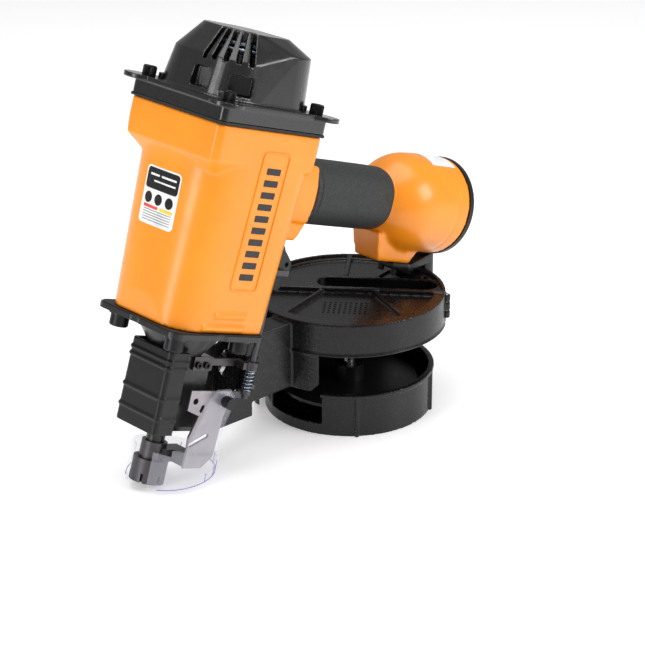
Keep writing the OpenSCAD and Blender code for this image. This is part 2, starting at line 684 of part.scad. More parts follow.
// How far the lower wall stands in from the rim above it
wall_step = 0.3;
module magazine_housing() color(plastic_black) difference() {
    union() {
        seam() difference() {
            intersection() {
                union() {
                    drum_shell();
                    rib(-74, 2, 74, 2, 3, deck_z, top_z);
                    rib(-5, 30, -5, 74, 3.5, deck_z, top_z - 0.5);
                    rib(20, 30, 38, 64, 3, deck_z, top_z - 1);
                    rib(56, 34, 30, 45, 3, deck_z, top_z - 1);
                    ring(drum_r - 6, drum_r - 9, deck_z, top_z - 1);
                    translate([-66, 3, deck_z]) cube([42, 25, 5]);
                    translate([-16, slot_v, deck_z - 9]) cylinder(r = slot_half + 2.5, h = 14);
                    translate([60, slot_v, deck_z - 9]) cylinder(r = slot_half + 2.5, h = 14);
                    translate([-16, slot_v - slot_half - 2.5, deck_z - 9])
                        cube([76, 2 * slot_half + 5, 14]);
                }
                fixed_half(0, 120);
                cylinder(r = drum_r + 1, h = 120);
            }
            translate([-16, slot_v, deck_z - 6]) cylinder(r = slot_half, h = 30);
            translate([58, slot_v, deck_z - 6]) cylinder(r = slot_half, h = 30);
            translate([-16, slot_v - slot_half, deck_z - 6]) cube([74, 2 * slot_half, 30]);
        }
        // tall wall round the right side, from the tub up to the deck
        drum() difference() {
            ring(drum_r - wall_step, drum_r - wall - wall_step, 4, rim_z + 3);
            translate([-100, -200 + 26, 0]) cube([200, 200, 120]);
            translate([-200, -100, 0]) cube([136, 200, 120]);
            tub_screw_places() translate([0, 0, -20]) cylinder(r = 1.55, h = 40);
            rotate([0, 0, seam_angle]) cover_half(rim_z - 0.6, rim_z + 5);
        }
        drum() difference() {
            translate([rear_boss, 0, 60]) cylinder(r = 10, h = 14);
            cylinder(r = drum_r - 0.5, h = 120);
        }
        drum() difference() {
            ring(drum_r - wall_step, drum_r - wall - wall_step, rim_z - 10, rim_z + 3);
            translate([-100, -150, 0]) cube([160, 300, 120]);
        }
        seam() hinge_knuckle([[75, 80.5], [88.5, 94]], 0.6);
        throat_wall();
    }
    seam() translate([hinge_u, 0, 0]) cylinder(r = hinge_bore_r, h = 130);
    seam() translate([hinge_u, 0, 80.5]) cylinder(r = knuckle_r + 0.4, h = 8);
    drum() translate([rear_boss, 0, 50]) cylinder(r = 2.55, h = 30);
}
module tub_screw_places() {
    for (a = [50, 90, 130]) rotate([0, 0, a]) translate([drum_r, 0, 14])
        rotate([0, 90, 0]) children();
}
// Barrels of the cover's hinge, with a web at side offset v into the drum's wall
module hinge_knuckle(spans, v) {
    for (s = spans) {
        translate([hinge_u, 0, s[0]]) cylinder(r = knuckle_r, h = s[1] - s[0]);
        translate([drum_r - 2.5, v, s[0]]) cube([hinge_u - drum_r + 2.5, 2.4, s[1] - s[0]]);
    }
}
// Right-hand wall of the nail path, from the nose back to the drum
module throat_wall() {
    difference() {
        union() {
            standing() hull() {
                translate([75, 11.5, 30]) cylinder(r = 1.5, h = 62, $fn = 24);
                translate([150.5, 50.2, 30]) cylinder(r = 1.5, h = 62, $fn = 24);
            }
            standing() translate([50, 10, 30]) cube([26, 3, 62]);
        }
        engine() translate([-50, -60, 105]) cube([110, 120, 60]);
        engine() translate([-50, -60, -60]) cube([80, 120, 260]);
        engine() translate([10, 5, feed_z - 12]) cube([28, 30, 40]);
        engine() translate([10, feed_y, feed_z]) rotate([0, 90, 0])
            cylinder(r = feed_r + 1, h = 64);
        drum() cylinder(r = drum_r - wall + 0.5, h = 120);
        drum() translate([0, 0, rim_z - 0.6]) cylinder(r = drum_r + 1.2, h = 60);
    }
}
module magazine_tub() color(plastic_black) {
    drum() difference() {
        union() {
            cylinder(r = tub_r - 1.5, h = 3);
            difference() {
                union() {
                    ring(tub_r - 1, tub_r - 4, 0, tub_h);
                    ring(tub_r + 0.6, tub_r - 4, tub_h - 3, tub_h);
                }
                translate([-110, -31, 9]) cube([70, 51, 60]);
            }
            for (a = [-128, -58]) rotate([0, 0, a]) translate([tub_r - 2, -1.5, 0])
                cube([3, 3, tub_h]);
        }
        translate([0, 0, -1]) cylinder(r = 6.05, h = 6);
    }
    // stand-offs that carry the tub on the housing's tall wall
    for (a = [50, 90, 130]) drum() rotate([0, 0, a]) difference() {
        translate([tub_r - 2.2, -5, 8])
            cube([drum_r - wall - wall_step - tub_r + 1.9, 10, 12]);
        translate([tub_r - 10, 0, 14]) rotate([0, 90, 0]) cylinder(r = 1.55, h = 30);
    }
}
module tub_screws() color(steel_dark)
    drum() tub_screw_places() socket_screw(3, 2, 1.5, 8);
module magazine_cover() color(plastic_black) difference() {
    union() {
        seam() intersection() {
            union() {
                drum_shell();
                rib(-20, -2, -44, -52, 3, deck_z, top_z);
                rib(20, -2, 46, -51, 3, deck_z, top_z);
                rib(-74, -2.2, 74, -2.2, 3, deck_z - 4, top_z + 1.5);
                ring(drum_r, drum_r - 9, deck_z, top_z);
            }
            cover_half(0, 120);
            cylinder(r = drum_r + 1, h = 120);
        }
        seam() hinge_knuckle([[81.2, 87.8]], -3);
        cover_side();
    }
    seam() translate([hinge_u, 0, 0]) cylinder(r = hinge_bore_r, h = 130);
    seam() for (z = [74.5, 88.2]) translate([hinge_u, 0, z])
        cylinder(r = knuckle_r + 0.4, h = 6.5);
}
// Left wall of the nail path: flat from the nose back to the drum, then round with the drum
side_front = 40;
side_y = -11;
side_low = 40;
side_turn = [186, 208.5];
side_corner = 9;
module cover_side() {
    intersection() {
        union() {
            difference() {
                union() {
                    standing() translate([50, side_y, 28.5]) cube([63, 3, 63]);
                    standing() translate([110, side_y, side_low])
                        cube([30, 3, deck_z + deck_t - side_low]);
                    standing() translate([100, side_y, deck_z]) cube([45, 20, deck_t]);
                }
                standing() translate([96, -60, 0]) cube([60, 60, side_low]);
                drum() cylinder(r = drum_r - wall_step - wall / 2, h = 120);
            }
            round_wall();
        }
        engine() difference() {
            translate([side_front, -60, -20]) cube([150, 80, 220]);
            translate([side_front - 10, -60, 71]) cube([31, 80, 60]);
            translate([side_front - 1, -60, -20]) cube([20, 80, 65.5]);
        }
    }
    engine() latch_guide();
}
// Skirt of the cover under its rim, with its lower corner cut off at the window
module round_wall() drum() {
    mid = drum_r - wall_step - wall / 2;
    difference() {
        rotate([0, 0, side_turn[0]]) rotate_extrude(angle = side_turn[1] - side_turn[0])
            translate([mid - wall / 2, side_low - 0.6]) square([wall, rim_z + 1.4 - side_low]);
        rotate([0, 0, side_turn[1]]) translate([mid, 0, side_low - 0.6]) rotate([45, 0, 0])
            cube([20, side_corner, side_corner], center = true);
    }
}
module magazine_hinge_pin() color(steel_bright)
    seam() translate([hinge_u, 0, 75.2]) cylinder(r = hinge_pin_r, h = 19.6);
bracket_low = top_z + 3;
bracket_t = 7;
module magazine_bracket() color(plastic_black) difference() {
    union() {
        hull() {
            engine() translate([196, -12, foot_low - 4]) cube([17, 24, 3.9]);
            drum() translate([48, -14, bracket_low]) cube([6, 22, 6]);
        }
        hull() {
            drum() translate([48, -14, bracket_low]) cube([6, 22, 6]);
            drum() translate([rear_boss, 0, bracket_low])
                cylinder(r = 9.5, h = bracket_t, $fn = 32);
        }
        drum() translate([rear_boss, 0, 74]) cylinder(r = 9.5, h = bracket_low - 70);
    }
    drum() cylinder(r = drum_r + 1, h = bracket_low);
    engine() for (sy = [-1, 1]) translate([204, sy * 7, foot_low - 40])
        cylinder(r = 2.55, h = 60);
    drum() translate([rear_boss, 0, 60]) cylinder(r = 2.55, h = 60);
    drum() translate([rear_boss, 0, bracket_low + bracket_t - 3.6]) cylinder(r = 4.4, h = 20);
}
module bracket_screws() color(steel_dark) {
    engine() for (sy = [-1, 1]) translate([204, sy * 7, foot_low - 10])
        cylinder(r = 2.5, h = 19);
    drum() translate([rear_boss, 0, bracket_low + bracket_t - 3.6])
        socket_screw(4.2, 3, 2.5, 36);
}
module platform_post() color(steel_bright) drum() {
    cylinder(r = 6, h = 12);
    translate([0, 0, 11]) cylinder(r = 5, h = 60);
    translate([0, 0, 70]) cylinder(r1 = 5, r2 = 3.5, h = 4);
}
module nail_platform() color(plastic_black) drum() difference() {
    union() {
        translate([0, 0, 18]) cylinder(r = 55, h = 2.5);
        translate([0, 0, 18]) cylinder(r = 12, h = 16);
        for (a = [0 : 60 : 300]) rotate([0, 0, a]) translate([8, -1, 15]) cube([44, 2, 4]);
    }
    cylinder(r = 5.05, h = 100);
    cylinder(r = 6.6, h = 24);
}

// ---------------------------------------------------------------- cover latch
latch_x = 62.5;
latch_z = 80;
latch_len = 12;
latch_top = 100;
// Rails and stop on the cover's side wall that guide the latch
module latch_guide() {
    for (x = [latch_x - 1.6, latch_x + 8.3])
        translate([x, side_y - 3.6, latch_z - 2]) cube([1.3, 3.8, 24]);
    translate([latch_x - 1.6, side_y - 3.6, latch_top]) cube([11.2, 3.8, 3]);
}
module cover_latch() color(steel_dark) engine() {
    translate([latch_x, side_y - 3.3, latch_z]) cube([8, 3.1, latch_len]);
    translate([latch_x, side_y - 6.5, latch_z]) cube([8, 3.3, 3.5]);
}
module latch_spring() color(steel_dark) engine() translate([latch_x + 4, side_y - 1.9, 0])
    spring_sleeve(1.2, 0.8, latch_z + latch_len + 0.2, latch_top - 0.2, 6);

// ---------------------------------------------------------------- labels
label_h = 41;
module data_label() color(label_white) engine()
    front_face() translate([-0.6, -18, 65]) cube([0.55, 37, label_h]);
decal_bars = 10;
module side_decal() color(cast_black) engine() left_face()
    for (i = [0 : decal_bars - 1]) translate([2, -0.6, frame_z[0] + 8 + i * 8.6])
        cube([13, 0.45, 4.6]);
module chamber_label() color(label_white) engine()
    translate([0, 0, handle_z]) rotate([0, 90, 0]) rotate([0, 0, 150])
        translate([0, 0, bulb_end - 32]) rotate_extrude(angle = 58)
            translate([bulb_r + 0.02, 0]) square([0.4, 26]);

body_casting();
cylinder_cap();
cap_gasket();
cap_bolts();
cylinder_sleeve();
sleeve_seals();
piston();
piston_ring();
driver_blade();
bumper();
head_valve();
head_valve_seal();
head_valve_spring();
handle_grip();
end_cap();
end_cap_seal();
end_cap_screws();
inlet_bushing();
trigger();
trigger_pin();
trigger_valve_body();
trigger_valve_stem();
trigger_valve_spring();
nose_casting();
drive_guide();
nose_gasket();
nose_bolts();
nose_guard();
contact_foot();
trip_plate();
trip_rod();
trip_spring();
shield_knob();
debris_shield();
trip_guide();
trip_guide_screws();
feed_cylinder();
feed_screws();
feed_cylinder_cap();
feed_piston();
feed_spring();
feed_pawl();
pawl_pin();
magazine_housing();
magazine_tub();
tub_screws();
magazine_cover();
magazine_hinge_pin();
magazine_bracket();
bracket_screws();
platform_post();
nail_platform();
cover_latch();
latch_spring();
data_label();
side_decal();
chamber_label();
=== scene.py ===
"""Pneumatic coil nail gun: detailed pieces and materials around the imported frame."""
import json
import math

import bmesh
import bpy
from mathutils import Matrix, Vector

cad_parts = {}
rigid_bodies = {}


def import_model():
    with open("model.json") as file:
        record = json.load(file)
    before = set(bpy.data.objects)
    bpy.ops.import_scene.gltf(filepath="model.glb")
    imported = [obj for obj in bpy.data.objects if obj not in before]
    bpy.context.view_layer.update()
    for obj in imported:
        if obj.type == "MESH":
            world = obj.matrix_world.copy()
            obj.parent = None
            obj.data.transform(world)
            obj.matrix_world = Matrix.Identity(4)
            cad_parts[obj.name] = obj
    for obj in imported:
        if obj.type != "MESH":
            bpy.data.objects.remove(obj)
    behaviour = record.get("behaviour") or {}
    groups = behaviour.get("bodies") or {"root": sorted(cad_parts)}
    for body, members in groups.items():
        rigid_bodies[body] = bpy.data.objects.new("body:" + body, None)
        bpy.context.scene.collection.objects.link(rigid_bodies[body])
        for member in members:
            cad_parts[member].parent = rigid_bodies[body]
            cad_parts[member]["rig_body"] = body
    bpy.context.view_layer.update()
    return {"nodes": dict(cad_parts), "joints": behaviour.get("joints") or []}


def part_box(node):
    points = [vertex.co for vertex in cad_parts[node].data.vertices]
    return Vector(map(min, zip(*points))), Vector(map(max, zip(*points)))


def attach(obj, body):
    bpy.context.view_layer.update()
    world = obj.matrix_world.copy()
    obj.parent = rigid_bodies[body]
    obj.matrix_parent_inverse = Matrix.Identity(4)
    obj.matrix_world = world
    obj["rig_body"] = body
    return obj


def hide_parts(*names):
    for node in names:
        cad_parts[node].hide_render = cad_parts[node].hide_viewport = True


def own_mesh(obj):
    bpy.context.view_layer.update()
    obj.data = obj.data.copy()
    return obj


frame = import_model()

# ---------------------------------------------------------------- places
# Lengths below are millimetres in one of these frames, and pieces are scaled to metres.
MM = 0.001
DRIVE_AXIS = next(j for j in frame["joints"] if j["name"] == "piston_slide")["axis"]
LEAN = math.atan2(-DRIVE_AXIS[0], -DRIVE_AXIS[2])
FOOT_LOW, FOOT_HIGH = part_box("contact_foot")
POST_LOW, POST_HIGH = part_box("platform_post")
DRUM_CENTRE = (POST_LOW + POST_HIGH) / 2
DRUM_CENTRE.z = 0
NOSE_TIP = DRUM_CENTRE - Vector((0.210, 0.004, 0))
STANDING = Matrix.Translation(NOSE_TIP)
ENGINE = STANDING @ Matrix.Rotation(LEAN, 4, "Y")
DRUM = Matrix.Translation(DRUM_CENTRE)
SEAM_ANGLE = math.radians(-48.7)
SEAM = DRUM @ Matrix.Rotation(SEAM_ANGLE, 4, "Z")

HOUSING_Z = 128
HOUSING_TOP = 277
BARREL_TOP = 235
FOOT_HALF = 44
BARREL_HALF = 46.5
SIDE_HALF = 48.8
HEAD_HALF = 50
HANDLE_Z = 230
GRIP_R = 22
BULB_R = 38.2
BULB_MID = 201
BULB_END = 239.7
DRUM_R = 75.5
FRONT_SQUARENESS = 3.1
BACK_SQUARENESS = 8
RIM_Z = 70
TOP_Z = 96
DECK_Z = TOP_Z - 3
CAP_BOLT_AT = 42.8
CAP_BOLT_R = 3
CAP_SEAT = 292.5
NOSE_BOLT_AT = 31
NOSE_BOLT_R = 4
NOSE_SEAT = 120.8
LATCH_Y = -10.4
FRONT_R = 46
PATCH_STEPS = 28
PATCH_DEPTH = 0.6
SHIELD_X = 22
SHIELD_R = 32
SHIELD_GAP = 3.5

# ---------------------------------------------------------------- materials
MATERIALS = {}


class Nodes:
    """Small helper that builds a node tree in reading order."""

    def __init__(self, name):
        self.material = bpy.data.materials.new(name)
        self.material.use_nodes = True
        self.tree = self.material.node_tree
        self.shader = self.tree.nodes["Principled BSDF"]

    def add(self, kind, **values):
        node = self.tree.nodes.new(kind)
        for key, value in values.items():
            if hasattr(node, key):
                setattr(node, key, value)
            else:
                node.inputs[key.replace("_", " ")].default_value = value
        return node

    def link(self, out, socket):
        self.tree.links.new(out, socket)

    def coordinates(self, stretch=(1, 1, 1)):
        where = self.add("ShaderNodeTexCoord")
        mapping = self.add("ShaderNodeMapping")
        mapping.inputs["Scale"].default_value = stretch
        self.link(where.outputs["Object"], mapping.inputs["Vector"])
        return mapping.outputs["Vector"]

    def noise(self, scale, detail=4, stretch=(1, 1, 1), roughness=0.5):
        node = self.add("ShaderNodeTexNoise", Scale=scale, Detail=detail, Roughness=roughness)
        self.link(self.coordinates(stretch), node.inputs["Vector"])
        return node.outputs["Fac"]

    def cells(self, scale, feature="F1"):
        node = self.add("ShaderNodeTexVoronoi", Scale=scale, feature=feature)
        self.link(self.coordinates(), node.inputs["Vector"])
        return node.outputs["Distance"]

    def spread(self, value, low, high):
        node = self.add("ShaderNodeMapRange")
        node.inputs["From Min"].default_value = 0.3
        node.inputs["From Max"].default_value = 0.7
        node.inputs["To Min"].default_value = low
        node.inputs["To Max"].default_value = high
        self.link(value, node.inputs["Value"])
        return node.outputs["Result"]

    def tint(self, value, dark, light):
        node = self.add("ShaderNodeValToRGB")
        node.color_ramp.elements[0].position = 0.3
        node.color_ramp.elements[0].color = (*dark, 1)
        node.color_ramp.elements[1].position = 0.7
        node.color_ramp.elements[1].color = (*light, 1)
        self.link(value, node.inputs["Fac"])
        return node.outputs["Color"]

    def bump(self, height, strength, distance, under=None):
        node = self.add("ShaderNodeBump", Strength=strength, Distance=distance)
        self.link(height, node.inputs["Height"])
        if under:
            self.link(under, node.inputs["Normal"])
        return node.outputs["Normal"]

    def set(self, **values):
        for key, value in values.items():
            socket = self.shader.inputs[key.replace("_", " ")]
            if isinstance(value, (int, float, tuple)):
                socket.default_value = value
            else:
                self.link(value, socket)


def shade(colour, amount):
    return tuple(max(0.0, min(1.0, c * amount)) for c in colour)


def painted(name, colour, rough, grain=900, depth=0.00003, coat=0.25):
    """Coated casting: a thin glossy coat over a slightly uneven surface."""
    n = Nodes(name)
    cloud = n.noise(35, 3)
    n.set(Base_Color=n.tint(cloud, shade(colour, 0.95), shade(colour, 1.04)))
    n.set(Roughness=n.spread(n.noise(160, 4), rough - 0.05, rough + 0.06))
    n.set(Normal=n.bump(n.noise(grain, 3), 0.35, depth), Coat_Weight=coat, Coat_Roughness=0.18)
    MATERIALS[name] = n.material
    return n.material


def moulded(name, colour, rough, grain=1400, depth=0.00004, spec=0.5):
    """Moulded plastic with a fine spark-eroded grain."""
    n = Nodes(name)
    n.set(Base_Color=n.tint(n.noise(60, 4), shade(colour, 0.85), shade(colour, 1.2)))
    n.set(Roughness=n.spread(n.noise(300, 4), rough - 0.06, rough + 0.08))
    n.set(Normal=n.bump(n.noise(grain, 2), 0.5, depth), Specular_IOR_Level=spec)
    MATERIALS[name] = n.material
    return n.material


def leather_grain(name, colour, rough):
    """Rubber with a pebbled grain."""
    n = Nodes(name)
    pebble = n.bump(n.cells(750, "SMOOTH_F1"), 0.7, 0.00012)
    fine = n.bump(n.noise(2200, 2), 0.4, 0.00004, pebble)
    n.set(Base_Color=n.tint(n.cells(750), shade(colour, 1.25), shade(colour, 0.75)))
    n.set(Roughness=n.spread(n.noise(250, 3), rough - 0.06, rough + 0.06), Normal=fine)
    MATERIALS[name] = n.material
    return n.material


def metal(name, colour, rough, stretch=(1, 1, 12), grain=500, depth=0.00002):
    """Bare or oxidised metal with fine machining marks."""
    n = Nodes(name)
    marks = n.noise(grain, 4, stretch)
    n.set(Base_Color=n.tint(n.noise(90, 4), shade(colour, 0.85), shade(colour, 1.1)))
    n.set(Metallic=1.0, Roughness=n.spread(marks, rough - 0.07, rough + 0.09))
    n.set(Normal=n.bump(marks, 0.3, depth))
    MATERIALS[name] = n.material
    return n.material


def clear_plastic(name, colour, alpha, rough):
    n = Nodes(name)
    n.set(Base_Color=(*colour, 1), Alpha=alpha, IOR=1.55)
    n.set(Roughness=n.spread(n.noise(400, 3), rough, rough + 0.04))
    n.set(Normal=n.bump(n.noise(60, 2), 0.15, 0.0002))
    MATERIALS[name] = n.material
    return n.material


ORANGE = (1.0, 0.30, 0.006)
painted("housing_paint", ORANGE, 0.36, coat=0.3)
painted("cap_black", (0.004, 0.004, 0.005), 0.26, grain=700, depth=0.00005, coat=0.4)
painted("nose_black", (0.007, 0.007, 0.008), 0.34, grain=600, depth=0.00006, coat=0.15)
moulded("plastic_black", (0.007, 0.007, 0.008), 0.36, spec=0.35)
moulded("magazine_black", (0.005, 0.005, 0.006), 0.28, grain=1100, depth=0.00003, spec=0.35)
leather_grain("grip_rubber", (0.022, 0.026, 0.025), 0.62)
moulded("trigger_plastic", (0.018, 0.024, 0.022), 0.5, grain=1500, depth=0.00005)
moulded("seal_rubber", (0.01, 0.01, 0.01), 0.6)
metal("bolt_steel", (0.035, 0.034, 0.036), 0.38)
metal("dark_steel", (0.10, 0.095, 0.10), 0.42, grain=700)
metal("plate_steel", (0.33, 0.31, 0.33), 0.36, grain=650)
metal("bright_steel", (0.62, 0.62, 0.64), 0.22)
metal("cast_alloy", (0.70, 0.70, 0.72), 0.33)
metal("spring_steel", (0.42, 0.50, 0.60), 0.25)
clear_plastic("clear_shield", (0.80, 0.80, 0.90), 0.13, 0.05)
clear_plastic("shield_edge", (0.20, 0.16, 0.65), 0.55, 0.1)
moulded("label_white", (0.86, 0.86, 0.87), 0.3, depth=0.00001)
moulded("label_black", (0.006, 0.006, 0.006), 0.28, depth=0.00001)
moulded("label_grey", (0.30, 0.30, 0.31), 0.35, depth=0.00001)
moulded("label_yellow", (0.85, 0.62, 0.05), 0.35, depth=0.00001)
moulded("label_red", (0.75, 0.08, 0.06), 0.35, depth=0.00001)

# ---------------------------------------------------------------- shapes


def add_points(bm, rings, closed_ends=True):
    """Skin of equal rings of points, with flat ends."""
    rows = [[bm.verts.new(p) for p in ring] for ring in rings]
    count = len(rows[0])
    for low, high in zip(rows, rows[1:]):
        for i in range(count):
            j = (i + 1) % count
            bm.faces.new((low[i], low[j], high[j], high[i]))
    if closed_ends:
        bm.faces.new(list(reversed(rows[0])))
        bm.faces.new(rows[-1])
    return [v for row in rows for v in row]


def add_prism(bm, outline, z0, z1, matrix=None):
    verts = add_points(bm, [[(x, y, z) for x, y in outline] for z in (z0, z1)])
    if matrix is not None:
        bmesh.ops.transform(bm, matrix=matrix, verts=verts)
    return verts


def add_box(bm, low, high, matrix=None):
    (x0, y0, z0), (x1, y1, z1) = low, high
    return add_prism(bm, [(x0, y0), (x1, y0), (x1, y1), (x0, y1)], z0, z1, matrix)


def circle(r, x=0, y=0, steps=48, start=0.0):
    return [(x + r * math.cos(start + math.tau * i / steps),
             y + r * math.sin(start + math.tau * i / steps)) for i in range(steps)]


def rounded(points, r, steps=5):
    """The outline with each corner turned into an arc of radius r, counter-clockwise or not."""
    out = []
    n = len(points)
    for i in range(n):
        a, b, c = Vector(points[i - 1]), Vector(points[i]), Vector(points[(i + 1) % n])
        u, v = (a - b), (c - b)
        reach = min(u.length, v.length) * 0.49
        u.normalize()
        v.normalize()
        half = math.acos(max(-1, min(1, u.dot(v)))) / 2
        cut = min(reach, r / max(math.tan(half), 1e-6))
        p, q = b + u * cut, b + v * cut
        for k in range(steps + 1):
            t = k / steps
            out.append(tuple((1 - t) ** 2 * p + 2 * t * (1 - t) * b + t ** 2 * q))
    return out


def add_turned(bm, outline, matrix=None, steps=96):
    """Open outline of (r, z) points whose ends lie on the axis."""
    poles = [p for p in outline if p[0] < 1e-6]
    rings = [p for p in outline if p[0] >= 1e-6]
    rows = [[bm.verts.new((r * math.cos(math.tau * i / steps),
                           r * math.sin(math.tau * i / steps), z)) for i in range(steps)]
            for r, z in rings]
    for low, high in zip(rows, rows[1:]):
        for i in range(steps):
            j = (i + 1) % steps
            bm.faces.new((low[i], low[j], high[j], high[i]))
    tips = [bm.verts.new((0, 0, z)) for _, z in poles]
    for i in range(steps):
        j = (i + 1) % steps
        bm.faces.new((tips[0], rows[0][j], rows[0][i]))
        bm.faces.new((tips[-1], rows[-1][i], rows[-1][j]))
    verts = [v for row in rows for v in row] + tips
    if matrix is not None:
        bmesh.ops.transform(bm, matrix=matrix, verts=verts)
    return verts


def add_cylinder(bm, r, z0, z1, matrix=None, steps=48, edge=0.0):
    """Cylinder along Z with its rims eased by a small chamfer."""
    e = min(edge, r * 0.4, (z1 - z0) * 0.4)
    outline = [(0, z0), (r - e, z0), (r, z0 + e), (r, z1 - e), (r - e, z1), (0, z1)]
    if e <= 0:
        outline = [(0, z0), (r, z0), (r, z1), (0, z1)]
    return add_turned(bm, outline, matrix, steps)


def add_hull(bm, points):
    verts = [bm.verts.new(p) for p in points]
    out = bmesh.ops.convex_hull(bm, input=verts)
    loose = [e for e in out["geom_interior"] + out["geom_unused"]
             if isinstance(e, bmesh.types.BMVert) and e.is_valid]
    bmesh.ops.delete(bm, geom=list(set(loose)), context="VERTS")


def add_tube(bm, path, r, steps=12, closed=False):
    """Round bar along a list of points."""
    points = [Vector(p) for p in path]
    side = None
    rings = []
    n = len(points)
    for i, p in enumerate(points):
        before = points[i - 1] if (i or closed) else p
        after = points[(i + 1) % n] if (i < n - 1 or closed) else p
        along = (after - before).normalized()
        if side is None:
            side = along.orthogonal().normalized()
        side = (side - along * side.dot(along)).normalized()
        other = along.cross(side)
        rings.append([p + r * (math.cos(math.tau * k / steps) * side
                               + math.sin(math.tau * k / steps) * other)
                      for k in range(steps)])
    if closed:
        rings.append(rings[0])
    return add_points(bm, rings, closed_ends=not closed)


def rotated(angle_deg, axis="Z"):
    return Matrix.Rotation(math.radians(angle_deg), 4, axis)


def moved(x, y, z):
    return Matrix.Translation(Vector((x, y, z)))


FRONT = moved(-44, 0, HOUSING_Z) @ rotated(-1.33, "Y")
LEFT = moved(0, -44, HOUSING_Z) @ rotated(2.54, "X")


def finish_mesh(mesh, angle=32):
    mesh.shade_smooth()
    mesh.set_sharp_from_angle(angle=math.radians(angle))


def make_object(name, bm, material, matrix):
    bmesh.ops.recalc_face_normals(bm, faces=bm.faces)
    mesh = bpy.data.meshes.new(name)
    bm.to_mesh(mesh)
    bm.free()
    mesh.transform(matrix @ Matrix.Scale(MM, 4))
    mesh.materials.append(MATERIALS[material])
    obj = bpy.data.objects.new(name, mesh)
    bpy.context.scene.collection.objects.link(obj)
    return obj


def apply_modifiers(obj):
    graph = bpy.context.evaluated_depsgraph_get()
    mesh = bpy.data.meshes.new_from_object(obj.evaluated_get(graph))
    obj.modifiers.clear()
    obj.data = mesh


def piece(name, bm, material, body="tool", matrix=ENGINE, replaces=(), angle=32):
    obj = make_object(name, bm, material, matrix)
    finish_mesh(obj.data, angle)
    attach(obj, body)
    if replaces:
        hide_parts(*replaces)
    return obj


def cut(obj, cutters, matrix):
    """Takes the cutter shapes out of an object."""
    for i, bm in enumerate(cutters):
        tool = make_object(f"cutter_{i}", bm, "plastic_black", matrix)
        change = obj.modifiers.new("cut", "BOOLEAN")
        change.operation = "DIFFERENCE"
        change.solver = "EXACT"
        change.object = tool
        apply_modifiers(obj)
        bpy.data.objects.remove(tool)


def fused(name, bm, material, voxel, smooth, body="tool", matrix=ENGINE, cutters=(),
          replaces=(), keep=1.0, angle=40):
    """One cast or moulded skin from overlapping shapes, with softened edges."""
    obj = make_object(name, bm, material, matrix)
    remesh(obj, voxel)
    if cutters:
        cut(obj, cutters, matrix)
        remesh(obj, voxel)
    soften(obj, smooth, keep)
    finish_mesh(obj.data, angle)
    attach(obj, body)
    if replaces:
        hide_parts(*replaces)
    return obj


def remesh(obj, voxel):
    change = obj.modifiers.new("fuse", "REMESH")
    change.mode = "VOXEL"
    change.voxel_size = voxel * MM
    change.adaptivity = 0.0
    apply_modifiers(obj)


def soften(obj, smooth, keep=1.0):
    if smooth:
        change = obj.modifiers.new("soft", "SMOOTH")
        change.factor = 0.5
        change.iterations = smooth
        apply_modifiers(obj)
    if keep < 1:
        change = obj.modifiers.new("thin", "DECIMATE")
        change.ratio = keep
        apply_modifiers(obj)


def softened_node(node, material, voxel=0.7, smooth=3, keep=0.35, angle=35):
    """The CAD node's shape with the rounded edges of a real casting or moulding."""
    source = frame["nodes"][node]
    mesh = source.data.copy()
    mesh.materials.clear()
    mesh.materials.append(MATERIALS[material])
    obj = bpy.data.objects.new(node + "_skin", mesh)
    bpy.context.scene.collection.objects.link(obj)
    remesh(obj, voxel)
    soften(obj, smooth, keep)
    obj.data.materials.clear()
    obj.data.materials.append(MATERIALS[material])
    finish_mesh(obj.data, angle)
    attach(obj, source["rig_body"])
    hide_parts(node)
    return obj


# ---------------------------------------------------------------- CAD nodes that keep their mesh
NODE_MATERIAL = {
    "cap_gasket": "seal_rubber", "cylinder_sleeve": "cast_alloy", "sleeve_seals": "seal_rubber",
    "piston": "cast_alloy", "piston_ring": "seal_rubber", "driver_blade": "bright_steel",
    "bumper": "seal_rubber", "head_valve": "plastic_black", "head_valve_seal": "seal_rubber",
    "end_cap_seal": "seal_rubber", "trigger_pin": "bright_steel",
    "trigger_valve_body": "plastic_black", "trigger_valve_stem": "bright_steel",
    "nose_gasket": "seal_rubber", "feed_cylinder_cap": "cast_alloy",
    "feed_piston": "cast_alloy", "pawl_pin": "bright_steel", "feed_pawl": "dark_steel",
    "magazine_hinge_pin": "bright_steel", "platform_post": "bright_steel",
    "trip_rod": "dark_steel", "trip_guide": "dark_steel", "cover_latch": "dark_steel",
    "body_casting": "housing_paint", "cylinder_cap": "cap_black", "nose_casting": "nose_black",
    "drive_guide": "nose_black",
    "nose_guard": "plastic_black", "handle_grip": "grip_rubber", "end_cap": "plastic_black",
    "trigger": "trigger_plastic", "contact_foot": "dark_steel", "trip_plate": "plate_steel",
    "shield_knob": "plastic_black", "debris_shield": "clear_shield",
    "feed_cylinder": "nose_black", "magazine_housing": "magazine_black",
    "magazine_tub": "magazine_black", "magazine_cover": "magazine_black",
    "magazine_bracket": "plastic_black", "nail_platform": "plastic_black",
    "cap_bolts": "bolt_steel", "nose_bolts": "bolt_steel", "end_cap_screws": "bolt_steel",
    "trip_guide_screws": "bolt_steel", "feed_screws": "bolt_steel", "tub_screws": "bolt_steel",
    "bracket_screws": "bolt_steel", "inlet_bushing": "bright_steel",
    "head_valve_spring": "spring_steel", "trigger_valve_spring": "spring_steel",
    "trip_spring": "spring_steel", "feed_spring": "spring_steel",
    "latch_spring": "spring_steel", "data_label": "label_white",
    "side_decal": "label_black", "chamber_label": "label_white",
}


def dress_nodes():
    for name, obj in frame["nodes"].items():
        obj.data.materials.clear()
        obj.data.materials.append(MATERIALS[NODE_MATERIAL[name]])
        finish_mesh(obj.data, 30)


# ---------------------------------------------------------------- engine housing


